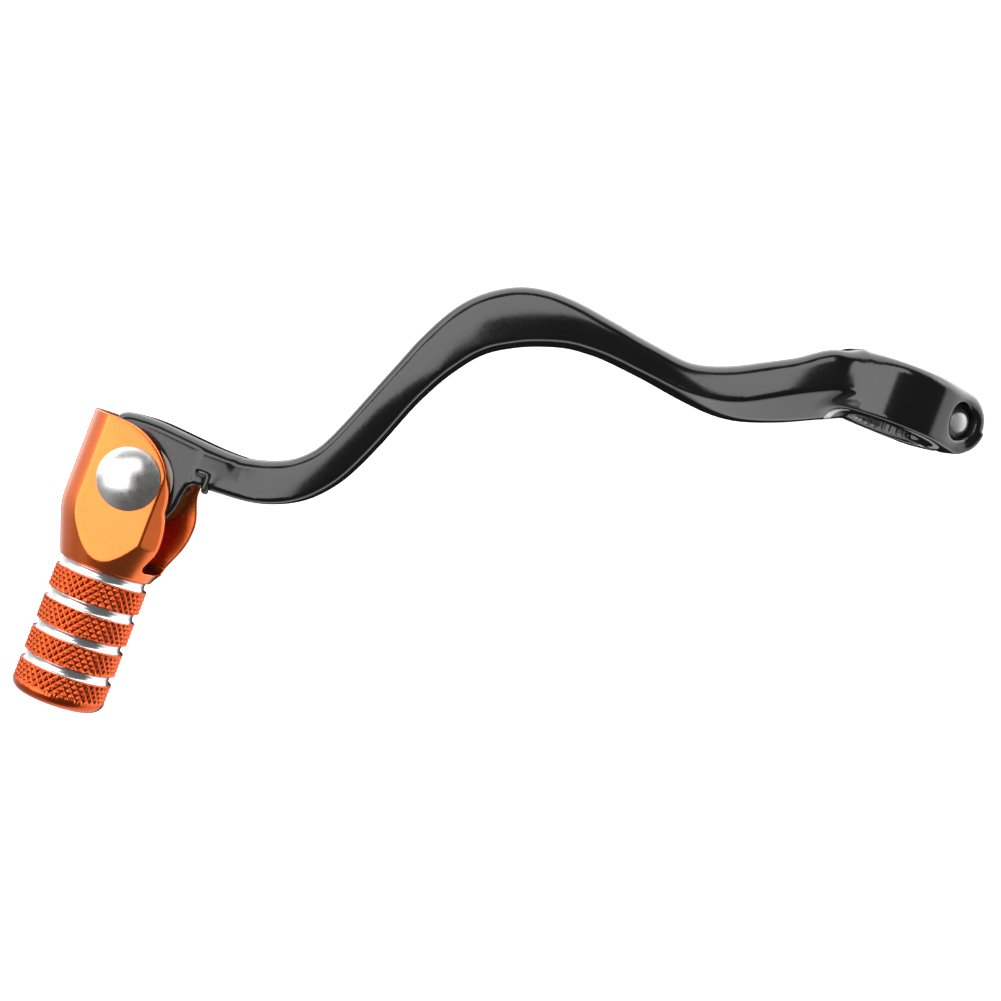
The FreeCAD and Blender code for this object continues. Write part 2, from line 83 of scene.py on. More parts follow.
def poly_dist(x, y, pts):
    """Signed distance to a closed polygon, negative inside."""
    pts = np.asarray(pts, float)
    best = np.full(np.broadcast(x, y).shape, 1e9)
    inside = np.zeros(best.shape, bool)
    n = len(pts)
    for i in range(n):
        ax, ay = pts[i]
        bx, by = pts[(i + 1) % n]
        ex, ey = bx - ax, by - ay
        wx, wy = x - ax, y - ay
        t = np.clip((wx * ex + wy * ey) / max(ex * ex + ey * ey, 1e-12), 0, 1)
        best = np.minimum(best, (wx - ex * t) ** 2 + (wy - ey * t) ** 2)
        c = ((ay > y) != (by > y)) & (x < ex * (y - ay) / (ey if abs(ey) > 1e-12 else 1e-12) + ax)
        inside ^= c
    d = np.sqrt(best)
    return np.where(inside, -d, d)


def sample(arr, p):
    """Trilinear look-up of arr at fractional indices p."""
    s = np.array(arr.shape) - 1.001
    q = np.clip(p, 0, s)
    i = q.astype(int)
    f = q - i
    x, y, z = i.T
    fx, fy, fz = f.T
    c = 0
    for dx in (0, 1):
        for dy in (0, 1):
            for dz in (0, 1):
                w = (fx if dx else 1 - fx) * (fy if dy else 1 - fy) * (fz if dz else 1 - fz)
                c = c + w * arr[x + dx, y + dy, z + dz]
    return c


def mesh_from_field(name, d, origin, h, steps=2):
    grid = openvdb.FloatGrid(2.0)
    grid.copyFromArray(np.clip(d, -2.0, 2.0).astype(f32), ijk=(0, 0, 0), tolerance=0.0)
    pts, tris, quads = grid.convertToPolygons(0.0, 0.0)
    p = np.array(pts, float)
    for _ in range(steps):
        g = np.empty_like(p)
        for a in range(3):
            e = np.zeros(3)
            e[a] = 0.5
            g[:, a] = sample(d, p + e) - sample(d, p - e)
        v = sample(d, p)
        m = (g ** 2).sum(1)
        mv = -(v / np.maximum(m, 1e-6))[:, None] * g
        ln = np.sqrt((mv ** 2).sum(1))[:, None]
        p = p + mv * np.minimum(1.0, 0.45 / np.maximum(ln, 1e-9))
    p = p * h + np.array(origin)
    return mesh_of(name, p, quads=np.array(quads).reshape(-1, 4), tris=np.array(tris).reshape(-1, 3))


def mesh_of(name, p, quads=None, tris=None, index=None):
    """Object from points in millimetres and faces, smooth shaded."""
    me = bpy.data.meshes.new(name)
    q = np.asarray(quads if quads is not None else np.zeros((0, 4)), int).reshape(-1, 4)
    t = np.asarray(tris if tris is not None else np.zeros((0, 3)), int).reshape(-1, 3)
    me.vertices.add(len(p))
    me.vertices.foreach_set("co", (np.asarray(p, float) * 0.001).astype(f32).ravel())
    loops = np.concatenate([q.ravel(), t.ravel()])
    me.loops.add(len(loops))
    me.loops.foreach_set("vertex_index", loops.astype(np.int32))
    starts = np.concatenate([np.arange(len(q)) * 4, len(q) * 4 + np.arange(len(t)) * 3])
    me.polygons.add(len(q) + len(t))
    me.polygons.foreach_set("loop_start", starts.astype(np.int32))
    me.update(calc_edges=True)
    me.validate()
    me.shade_smooth()
    o = bpy.data.objects.new(name, me)
    SC.collection.objects.link(o)
    return o


def face_out(o):
    """Turns every face outward when the volume comes out negative."""
    me = o.data
    n = len(me.loop_triangles) if me.loop_triangles else 0
    me.calc_loop_triangles()
    co = np.empty(len(me.vertices) * 3)
    me.vertices.foreach_get("co", co)
    co = co.reshape(-1, 3)
    tr = np.empty(len(me.loop_triangles) * 3, int)
    me.loop_triangles.foreach_get("vertices", tr)
    tr = tr.reshape(-1, 3)
    v = np.einsum("ij,ij->i", co[tr[:, 0]], np.cross(co[tr[:, 1]], co[tr[:, 2]])).sum()
    if v < 0:
        me.flip_normals()
    return o


def sharpen(o, deg):
    """Marks creases sharper than deg, so that flats stay flat and rounds stay round."""
    import bmesh
    bm = bmesh.new()
    bm.from_mesh(o.data)
    lim = math.radians(deg)
    for e in bm.edges:
        e.smooth = not (len(e.link_faces) == 2 and e.calc_face_angle(0) > lim)
    bm.to_mesh(o.data)
    bm.free()


# ------------------------------------------------------------------ materials
def nodes_of(name):
    m = bpy.data.materials.new(name)
    m.use_nodes = True
    nt = m.node_tree
    return m, nt, nt.nodes["Principled BSDF"]


def add(nt, kind, **kw):
    n = nt.nodes.new(kind)
    for k, v in kw.items():
        if k in n.inputs:
            n.inputs[k].default_value = v
        else:
            setattr(n, k, v)
    return n


def noise(nt, scale, detail=3.0, rough=0.5, stretch=None):
    tc = add(nt, "ShaderNodeTexCoord")
    mp = add(nt, "ShaderNodeMapping")
    mp.inputs["Scale"].default_value = stretch or (1, 1, 1)
    nt.links.new(tc.outputs["Object"], mp.inputs["Vector"])
    n = add(nt, "ShaderNodeTexNoise")
    n.inputs["Scale"].default_value = scale
    n.inputs["Detail"].default_value = detail
    n.inputs["Roughness"].default_value = rough
    nt.links.new(mp.outputs["Vector"], n.inputs["Vector"])
    return n


def ramp(nt, src, stops):
    r = add(nt, "ShaderNodeValToRGB")
    while len(r.color_ramp.elements) < len(stops):
        r.color_ramp.elements.new(0.5)
    for e, (pos, c) in zip(r.color_ramp.elements, stops):
        e.position = pos
        e.color = (c, c, c, 1) if isinstance(c, (int, float)) else (*c, 1)
    nt.links.new(src, r.inputs["Fac"])
    return r


def bump(nt, bs, pairs, dist):
    """Sums height sources into one bump."""
    prev = None
    for src, w in pairs:
        m = add(nt, "ShaderNodeMath", operation="MULTIPLY")
        m.inputs[1].default_value = w
        nt.links.new(src, m.inputs[0])
        if prev is not None:
            s = add(nt, "ShaderNodeMath", operation="ADD")
            nt.links.new(prev, s.inputs[0])
            nt.links.new(m.outputs[0], s.inputs[1])
            prev = s.outputs[0]
        else:
            prev = m.outputs[0]
    b = add(nt, "ShaderNodeBump")
    b.inputs["Strength"].default_value = 1.0
    b.inputs["Distance"].default_value = dist
    nt.links.new(prev, b.inputs["Height"])
    nt.links.new(b.outputs["Normal"], bs.inputs["Normal"])


def edge_wear(nt, lo, hi):
    """Bright where the surface is sharply convex."""
    g = add(nt, "ShaderNodeNewGeometry")
    return ramp(nt, g.outputs["Pointiness"], [(lo, 0.0), (hi, 1.0)])


def mix(nt, fac, a, b):
    """Blend of two colour or grey sources by a 0..1 factor."""
    n = nt.nodes.new("ShaderNodeMix")
    n.data_type = "RGBA"
    nt.links.new(fac, n.inputs["Factor"])
    for name, v in (("A", a), ("B", b)):
        k = [i_ for i_, q_ in enumerate(n.inputs) if q_.name == name and q_.type == "RGBA"][0]
        if isinstance(v, (int, float)):
            n.inputs[k].default_value = (v, v, v, 1)
        else:
            nt.links.new(v, n.inputs[k])
    return [q_ for q_ in n.outputs if q_.type == "RGBA"][0]


def math_node(nt, op, a, b=None):
    n = nt.nodes.new("ShaderNodeMath")
    n.operation = op
    for k, v in enumerate((a, b)):
        if v is None:
            continue
        if isinstance(v, (int, float)):
            n.inputs[k].default_value = v
        else:
            nt.links.new(v, n.inputs[k])
    return n.outputs[0]


def black_anodised():
    """Black finish; each end face of the clamp has a painted highlight round it, a ring of metallic grey that
    stands in for the highlight on its rounded rim.
    """
    m, nt, bs = nodes_of("arm_black_anodised")
    big = noise(nt, 60, 4, 0.55)
    fine = noise(nt, 1600, 3, 0.65)
    tc = add(nt, "ShaderNodeTexCoord")
    sx = add(nt, "ShaderNodeSeparateXYZ")
    nt.links.new(tc.outputs["Object"], sx.inputs[0])
    ay = math_node(nt, "ABSOLUTE", sx.outputs["Y"])
    # The mask built here is a painted highlight: a 1.3 mm ring of metallic grey on each clamp end face, at its
    # rim, standing in for the rim's highlight.
    face = math_node(nt, "MULTIPLY", math_node(nt, "SUBTRACT", ay, 0.00588), 20000.0)
    x2 = math_node(nt, "MULTIPLY", sx.outputs["X"], sx.outputs["X"])
    z2 = math_node(nt, "MULTIPLY", sx.outputs["Z"], sx.outputs["Z"])
    rad = math_node(nt, "SQRT", math_node(nt, "ADD", x2, z2))
    disc = math_node(nt, "MULTIPLY", math_node(nt, "SUBTRACT", 0.0114, rad), 12000.0)
    n = nt.nodes.new("ShaderNodeClamp")
    ring = math_node(nt, "MULTIPLY", math_node(nt, "SUBTRACT", rad, 0.0101), 12000.0)
    rim = math_node(nt, "MINIMUM", disc, ring)
    nt.links.new(math_node(nt, "MINIMUM", face, rim), n.inputs["Value"])
    bare = n.outputs[0]
    col = ramp(nt, big.outputs["Fac"], [(0.3, (0.0022, 0.0021, 0.0021)), (0.7, (0.0048, 0.0046, 0.0047))])
    met = ramp(nt, fine.outputs["Fac"], [(0.3, (0.58, 0.58, 0.585)), (0.7, (0.68, 0.68, 0.685))])
    nt.links.new(mix(nt, bare, col.outputs["Color"], met.outputs["Color"]), bs.inputs["Base Color"])
    r = ramp(nt, fine.outputs["Fac"], [(0.25, 0.10), (0.75, 0.17)])
    r2 = ramp(nt, big.outputs["Fac"], [(0.25, 0.30), (0.75, 0.42)])
    nt.links.new(mix(nt, bare, r.outputs["Color"], r2.outputs["Color"]), bs.inputs["Roughness"])
    nt.links.new(bare, bs.inputs["Metallic"])
    bs.inputs["IOR"].default_value = 1.56
    bump(nt, bs, [(big.outputs["Fac"], 0.35), (fine.outputs["Fac"], 0.035)], 0.00010)
    return m


def orange_anodised(name, turned=True, painted_shade=1.0):
    m, nt, bs = nodes_of(name)
    big = noise(nt, 90, 3, 0.5)
    lines = noise(nt, 60, 4, 0.7, (1, 60, 1) if turned else (1, 1, 1))
    # A last argument below 1 darkens the colour and makes it more saturated: painted shade, a shaded copy of the
    # same orange anodise.
    col = ramp(nt, big.outputs["Fac"], [(0.3, (0.80 * painted_shade, 0.150 * painted_shade ** 2, 0.022 * painted_shade)), (0.7, (0.88 * painted_shade, 0.172 * painted_shade ** 2, 0.028 * painted_shade))])
    nt.links.new(col.outputs["Color"], bs.inputs["Base Color"])
    r = ramp(nt, lines.outputs["Fac"], [(0.3, 0.24), (0.7, 0.28)])
    nt.links.new(r.outputs["Color"], bs.inputs["Roughness"])
    bs.inputs["Metallic"].default_value = 1.0
    bs.inputs["Coat Weight"].default_value = 0.45 if turned else 0.15
    bs.inputs["Coat Roughness"].default_value = 0.22
    bump(nt, bs, [(lines.outputs["Fac"], 0.012)], 0.00005)
    return m


def bare_metal(name, grey, rough, spread, scale=300, stretch=None, tint=(1, 1, 1), bumpy=0.1):
    m, nt, bs = nodes_of(name)
    n = noise(nt, scale, 5, 0.6, stretch)
    big = noise(nt, 120, 3, 0.5)
    c0 = tuple(grey * 0.86 * t for t in tint)
    c1 = tuple(min(1, grey * 1.08) * t for t in tint)
    col = ramp(nt, big.outputs["Fac"], [(0.3, c0), (0.7, c1)])
    nt.links.new(col.outputs["Color"], bs.inputs["Base Color"])
    r = ramp(nt, n.outputs["Fac"], [(0.3, rough), (0.7, rough + spread)])
    nt.links.new(r.outputs["Color"], bs.inputs["Roughness"])
    bs.inputs["Metallic"].default_value = 1.0
    bump(nt, bs, [(n.outputs["Fac"], bumpy)], 0.00006)
    return m


def nylon():
    m, nt, bs = nodes_of("washer_nylon")
    n = noise(nt, 400, 4, 0.6)
    col = ramp(nt, n.outputs["Fac"], [(0.3, (0.60, 0.58, 0.52)), (0.7, (0.70, 0.68, 0.61))])
    nt.links.new(col.outputs["Color"], bs.inputs["Base Color"])
    r = ramp(nt, n.outputs["Fac"], [(0.3, 0.42), (0.7, 0.55)])
    nt.links.new(r.outputs["Color"], bs.inputs["Roughness"])
    bs.inputs["Subsurface Weight"].default_value = 0.1
    bump(nt, bs, [(n.outputs["Fac"], 0.2)], 0.00005)
    return m


M_ARM = black_anodised()
M_PEG = orange_anodised("peg_orange_anodised")
# The knurl takes a darker, more saturated copy of the peg's orange anodise: painted shade standing in for the
# shade among the knurl's studs.
M_KNURL = orange_anodised("peg_orange_knurl_shaded", False, 0.74)
M_BARE = bare_metal("peg_groove_turned", 0.86, 0.18, 0.10, 60, (1, 80, 1))
M_RIVET = bare_metal("rivet_polished", 0.66, 0.24, 0.10, 700, tint=(1.0, 0.985, 0.96), bumpy=0.004)
M_BOLT = bare_metal("bolt_zinc", 0.86, 0.36, 0.14, 500, tint=(0.97, 0.99, 1.0))
M_HEAD = bare_metal("bolt_zinc_head", 0.56, 0.26, 0.14, 500, tint=(0.97, 0.99, 1.0))
M_BUSH = bare_metal("bush_bronze", 0.75, 0.25, 0.12, 200, (1, 1, 30), (1.0, 0.74, 0.42))
M_SPRING = bare_metal("spring_wire", 0.075, 0.30, 0.14, 400)
M_BORE = bare_metal("bore_machined", 0.30, 0.34, 0.14, 60, (1, 40, 1))
M_NYLON = nylon()


def give(o, *mats):
    o.data.materials.clear()
    for m in mats:
        o.data.materials.append(m)
    return o


# ------------------------------------------------------------------ lever arm
ARM = np.array([
    # centre x, centre y, width, top, base, ledge, drop, cross slope of the near face in degrees
    (-121.5, -60.6, 8.0, 5.95, -5.75, 0.4, 1.3, 0.0),
    (-118.3, -60.3, 8.0, 5.95, -5.75, 0.4, 1.3, 0.0),
    (-115.0, -60.1, 7.95, 5.95, -5.75, 0.4, 1.3, 0.0),
    (-112.3, -59.8, 8.2, 6.0, -5.8, 0.4, 1.3, 0.0),
    (-109.1, -59.2, 8.45, 6.1, -5.8, 0.4, 1.3, 0.5),
    (-105.7, -58.0, 8.45, 6.3, -5.8, 0.4, 1.3, 0.5),
    (-102.5, -56.2, 8.12, 6.5, -5.8, 0.4, 1.3, 0.0),
    (-100.0, -53.9, 7.75, 6.65, -5.8, 0.4, 1.3, -1.0),
    (-97.9, -51.3, 7.45, 6.75, -5.75, 0.4, 1.3, -1.0),
    (-96.3, -48.3, 7.38, 6.8, -5.7, 0.4, 1.3, -0.5),
    (-94.8, -44.9, 7.42, 6.85, -5.65, 0.4, 1.3, -0.5),
    (-93.2, -40.9, 7.46, 6.95, -5.6, 0.4, 1.3, 0.0),
    (-91.6, -36.6, 7.4, 7.1, -5.5, 0.4, 1.3, 1.0),
    (-90.0, -32.5, 7.45, 7.35, -5.4, 0.4, 1.3, 3.5),
    (-88.3, -28.6, 7.78, 7.6, -5.3, 0.4, 1.3, 5.5),
    (-86.7, -25.1, 8.34, 7.9, -5.2, 0.4, 1.3, 7.0),
    (-84.9, -21.9, 8.9, 8.15, -5.1, 0.4, 1.3, 7.0),
    (-83.1, -19.0, 9.48, 8.35, -5.0, 0.4, 1.3, 7.0),
    (-81.0, -16.4, 10.12, 8.55, -4.9, 0.4, 1.3, 7.0),
    (-78.8, -14.4, 10.59, 8.7, -4.8, 0.4, 1.3, 6.5),
    (-76.2, -12.7, 10.88, 8.85, -4.7, 0.4, 1.3, 6.0),
    (-73.3, -11.2, 10.82, 8.95, -4.7, 0.4, 1.3, 5.5),
    (-70.0, -10.2, 10.26, 9.0, -4.7, 0.4, 1.3, 5.0),
    (-66.6, -9.6, 9.24, 9.0, -4.7, 0.4, 1.3, 4.0),
    (-63.0, -9.3, 8.06, 8.95, -4.8, 0.4, 1.3, 2.2),
    (-59.4, -9.4, 7.13, 8.9, -4.9, 0.4, 1.3, 0.5),
    (-55.8, -9.6, 6.5, 8.8, -5.1, 0.4, 1.3, 0.0),
    (-52.3, -10.0, 6.17, 8.65, -5.3, 0.4, 1.3, 0.0),
    (-48.9, -10.4, 6.01, 8.45, -5.5, 0.4, 1.3, 0.0),
    (-45.5, -10.8, 5.95, 8.3, -5.8, 0.45, 1.6, 1.0),
    (-42.3, -11.2, 6.05, 8.25, -6.2, 0.5, 2.2, 3.0),
    (-39.2, -11.4, 6.5, 8.3, -6.6, 0.7, 3.0, 6.0),
    (-35.9, -11.2, 7.61, 8.45, -7.1, 1.3, 4.4, 9.0),
    (-32.2, -10.7, 9.08, 8.65, -7.6, 2.1, 6.0, 10.0),
    (-28.4, -9.7, 10.3, 8.85, -8.1, 3.1, 7.4, 10.0),
    (-24.8, -8.2, 11.08, 9.0, -8.6, 3.9, 8.5, 9.5),
    (-21.3, -6.6, 11.52, 9.2, -8.9, 4.5, 9.4, 8.0),
    (-18.1, -5.0, 11.83, 9.4, -9.2, 4.8, 10.0, 4.5),
    (-12.4, -1.6, 12.6, 9.6, -9.2, 4.6, 10.2, 0.0),
    (-8.6, 0.2, 9.4, 8.8, -8.6, 3.4, 9.6, 0.0),
])


def smooth_curve(tab, step):
    """Catmull-Rom through the table's rows, resampled evenly along the plan line."""
    p = np.vstack([2 * tab[0] - tab[1], tab, 2 * tab[-1] - tab[-2]])
    out = []
    for i in range(1, len(p) - 2):
        t = np.linspace(0, 1, 30, endpoint=False)[:, None]
        a, b, c, d = p[i - 1], p[i], p[i + 1], p[i + 2]
        out.append(0.5 * (2 * b + (c - a) * t + (2 * a - 5 * b + 4 * c - d) * t ** 2 + (3 * b - a - 3 * c + d) * t ** 3))
    out = np.vstack(out + [tab[-1:]])
    s = np.concatenate([[0], np.cumsum(np.hypot(*np.diff(out[:, :2], axis=0).T))])
    n = int(s[-1] / step)
    t = np.linspace(0, s[-1], n)
    res = np.stack([np.interp(t, s, out[:, k]) for k in range(out.shape[1])], 1)
    k = int(3.0 / step)
    w = np.hanning(2 * k + 3)[1:-1]
    w /= w.sum()
    pad = np.vstack([2 * res[0] - res[k:0:-1], res, 2 * res[-1] - res[-2:-k - 2:-1]])
    return np.stack([np.convolve(pad[:, j], w, "valid") for j in range(res.shape[1])], 1)


TURN = math.radians(23.0)
CT, SN = math.cos(TURN), math.sin(TURN)


def build_arm():
    h = 0.36
    lo = np.array([-143.5, -79.5, -16.5])
    n = (np.array([20.5, 10.5, 14.5]) - lo) / h
    nx, ny, nz = (int(v) + 1 for v in n)
    x = (lo[0] + h * np.arange(nx))[:, None, None].astype(f32)
    y = (lo[1] + h * np.arange(ny))[None, :, None].astype(f32)
    z = (lo[2] + h * np.arange(nz))[None, None, :].astype(f32)
    # nearest place along the arm for every plan point
    line = smooth_curve(ARM, 0.3)
    c = line[:, :2]
    T = np.gradient(c, axis=0)
    T /= np.linalg.norm(T, axis=1)[:, None]
    N = np.stack([-T[:, 1], T[:, 0]], 1)
    X2, Y2 = np.meshgrid(x[:, 0, 0], y[0, :, 0], indexing="ij")
    q = np.stack([X2.ravel(), Y2.ravel()], 1)
    idx = np.empty(len(q), int)
    for a in range(0, len(q), 20000):
        b = q[a:a + 20000]
        idx[a:a + 20000] = ((b[:, None, 0] - c[None, :, 0]) ** 2 + (b[:, None, 1] - c[None, :, 1]) ** 2).argmin(1)
    off = q - c[idx]
    u = (off * N[idx]).sum(1)
    w = (off * T[idx]).sum(1)
    t = np.clip(idx + w / 0.3, 0, len(c) - 1)
    par = [np.interp(t, np.arange(len(c)), line[:, k]).reshape(nx, ny, 1).astype(f32) for k in range(2, 8)]
    u = u.reshape(nx, ny, 1).astype(f32)
    end = np.where(idx == 0, -w, np.where(idx == len(c) - 1, w, -5)).reshape(nx, ny, 1).astype(f32)
    far = np.sqrt((off ** 2).sum(1)).reshape(nx, ny)
    wid, top, base, ledge, drop, lean = par
    lean = np.tan(np.radians(lean))
    hw = wid / 2
    zc = (top + base) / 2
    hh = (top - base) / 2
    zl = z - zc
    crown = 0.42 * (u / hw) ** 2
    zl = zl + np.clip(zl / hh, 0, 1) * (crown + u * lean)
    near, inner = zl > 0, u > 0
    rad = np.where(inner, np.where(near, 2.1, 1.6), np.where(near, 0.75, 1.6)).astype(f32)
    rad = np.minimum(rad, hw * 0.7)
    qx = np.abs(u) - hw + rad
    qz = np.abs(zl) - hh + rad
    d = np.minimum(np.maximum(qx, qz), 0) + np.sqrt(np.maximum(qx, 0) ** 2 + np.maximum(qz, 0) ** 2) - rad
    nrm = np.sqrt(drop ** 2 + ledge ** 2)
    slope = ((u + hw - ledge) * -drop + (z - top - (hw - ledge) * lean + 0.2) * ledge) / nrm
    d = smax(d, slope, 0.5)
    d = np.maximum(d, end)

    # knuckle
    k = int((-112 - lo[0]) / h)
    xk, yk = X2[:k], Y2[:k]
    px, py = PIV
    top_edge = [(px - 7.5, py + 6.0), (px - 7.5, py + 10.1), (px - 7.15, py + 10.9), (px - 6.3, py + 11.55), (px - 5.3, py + 11.85), (px - 4.1, py + 12.05),
                (px - 1.7, py + 12.25), (px + 0.8, py + 12.25), (px + 3.3, py + 12.1), (px + 8.4, py + 11.7), (px + 12.6, py + 11.4), (px + 17.5, py + 11.15), (px + 17.5, py + 6.5),
                (px + 12.6, py + 3.6), (px + 11.2, py + 3.65), (px + 10.5, py + 3.1), (px + 10.15, py + 2.2), (px + 9.7, py), (px, py - 4), (px - 6, py)]
    dk = np.minimum(poly_dist(xk, yk, top_edge), np.hypot(xk - px, yk - py) - 9.7)
    s = np.clip((yk[:, :, None] - py - 3.5) / 4.0, 0, 1).astype(f32)
    dk = rounded(dk[:, :, None].astype(f32), z, 5.75, np.where(z > 0, 0.5 + 1.75 * s * s * (3 - 2 * s), 0.7))
    d[:k] = np.maximum(smin(d[:k], dk, 0.8), np.abs(z) - np.where(xk[:, :, None] > px + 10.4, 5.95, 5.75))
    # spring well, its leg's way out and the seat of the leg
    rr = np.hypot(xk - px, yk - py)[:, :, None].astype(f32)
    cut = np.maximum(rr - 6.4, 0.4 - z)
    way = np.maximum(np.maximum(np.abs(yk[:, :, None] - py - 5.05) - 0.85, np.abs(xk[:, :, None] - px - 6.1) - 5.2), 0.4 - z)
    way = np.maximum(way, z - 1.9)
    cut = np.minimum(cut, np.minimum(way, rr - 3.9))
    seat = 1e9
    for a, b in (((10.0, 5.05, 1.05), (11.1, 5.85, 5.25)), ((11.1, 5.85, 5.25), (13.3, 5.85, 5.25)), ((13.3, 5.85, 5.25), (13.3, 1.5, 5.25))):
        a = np.array([a[0] + px, a[1] + py, a[2]])
        b = np.array([b[0] + px, b[1] + py, b[2]])
        e = b - a
        tt = np.clip(((xk[:, :, None] - a[0]) * e[0] + (yk[:, :, None] - a[1]) * e[1] + (z - a[2]) * e[2]) / (e @ e), 0, 1)
        seat = np.minimum(seat, np.sqrt((xk[:, :, None] - a[0] - e[0] * tt) ** 2 + (yk[:, :, None] - a[1] - e[1] * tt) ** 2 + (z - a[2] - e[2] * tt) ** 2) - 0.6)
    d[:k] = smax(d[:k], -np.minimum(cut, seat), 0.3)

    # clamp boss and ears
    k = int((-26 - lo[0]) / h)
    xb, yb = x[k:], y
    re_ = np.where(yb > 0, 2.3, 0.7).astype(f32)
    boss = rounded(np.sqrt(xb ** 2 + z ** 2) - 12.9, yb, 6.0, re_)
    reach = xb * CT - z * SN
    depth = xb * SN + z * CT
    slot2 = np.sqrt(np.maximum(reach - 11.0, 0) ** 2 + yb ** 2) - 6.0
    slot2 = np.maximum(slot2, -reach)
    ear = rounded(slot2, depth, 8.5, np.where(yb > 0, 1.9, 0.9).astype(f32))
    clamp = smin(boss, ear, 4.0)
    clamp = smax(clamp, np.abs(yb) - 6.0, 0.5)
    db = smin(smax(d[k:], yb - 5.9, 1.5), clamp, 3.2)
    # openings of the clamp
    rad = np.sqrt(xb ** 2 + z ** 2)
    bore = rad - 6.75 - np.maximum(np.abs(yb) - 5.4, 0)
    slit = np.maximum(np.abs(depth) - 0.8, 4.0 - reach)
    rho = np.sqrt((reach - 11.0) ** 2 + yb ** 2)
    hole = rho - 3.05 - np.maximum(np.abs(depth) - 8.2, 0) * 0.7
    cut = np.minimum(np.minimum(bore, slit), hole)
    d[k:] = smax(db, -cut, 0.3)
    return face_out(mesh_from_field("arm_forging", d, lo, h))


arm = build_arm()
give(arm, M_ARM)
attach(arm, "arm")
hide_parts("lever_arm")


def build_splines():
    """The serrated inner skin of the clamp bore, broken by the slit."""
    teeth = 26
    prof = []
    a0 = math.asin(0.8 / 6.2) + 0.0
    for k in range(teeth):
        base = 2 * math.pi * k / teeth
        for fr, r in ((-0.235, 6.0), (0.235, 6.0), (0.36, 6.5), (0.40, 6.55), (0.60, 6.55), (0.64, 6.5)):
            prof.append((base + fr * 2 * math.pi / teeth + math.pi / teeth, r))
    prof.sort()
    gap = []
    for a, r in prof:
        # angle from the ear direction, which droops below +X
        b = (a + math.pi) % (2 * math.pi) - math.pi
        if abs(b) > a0:
            gap.append((b, r))
    gap.sort()
    gap = [(-math.pi + (-math.pi - gap[-1][0]) % 1e-9, gap[0][1])] * 0 + gap
    pos = [g for g in gap if g[0] > 0]
    neg = [g for g in gap if g[0] < 0]
    ring = pos + [(b + 2 * math.pi, r) for b, r in neg]
    ys = (-5.75, -5.35, 5.35, 5.75)
    pts, quads = [], []
    m = len(ring)
    for yv, grow in zip(ys, (0.45, 0, 0, 0.45)):
        for b, r in ring:
            rr = min(r + grow, 6.72)
            pts.append((rr * math.cos(b - 0.0), yv, rr * math.sin(b)))
        for b, r in ring:
            pts.append((7.1 * math.cos(b), yv, 7.1 * math.sin(b)))
    w = 2 * m
    for j in range(3):
        for i in range(m - 1):
            quads.append((j * w + i, j * w + i + 1, (j + 1) * w + i + 1, (j + 1) * w + i))
            quads.append((j * w + m + i, (j + 1) * w + m + i, (j + 1) * w + m + i + 1, j * w + m + i + 1))
        for i in (0, m - 1):
            quads.append((j * w + i, (j + 1) * w + i, (j + 1) * w + m + i, j * w + m + i))
    for i in range(m - 1):
        quads.append((i, m + i, m + i + 1, i + 1))
        b = 3 * w
        quads.append((b + i, b + i + 1, b + m + i + 1, b + m + i))
    p = np.array(pts)
    # local x runs along the ears: reach axis (cos, -sin), depth axis (sin, cos)
    q = np.stack([p[:, 0] * CT + p[:, 2] * SN, p[:, 1], -p[:, 0] * SN + p[:, 2] * CT], 1)
    o = mesh_of("arm_bore_splines", q, quads)
    import bmesh
    bm = bmesh.new()
    bm.from_mesh(o.data)
    bmesh.ops.recalc_face_normals(bm, faces=bm.faces)
    bm.to_mesh(o.data)
    bm.free()
    sharpen(o, 20)
    return o


spl = build_splines()
give(spl, M_BORE)
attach(spl, "arm")


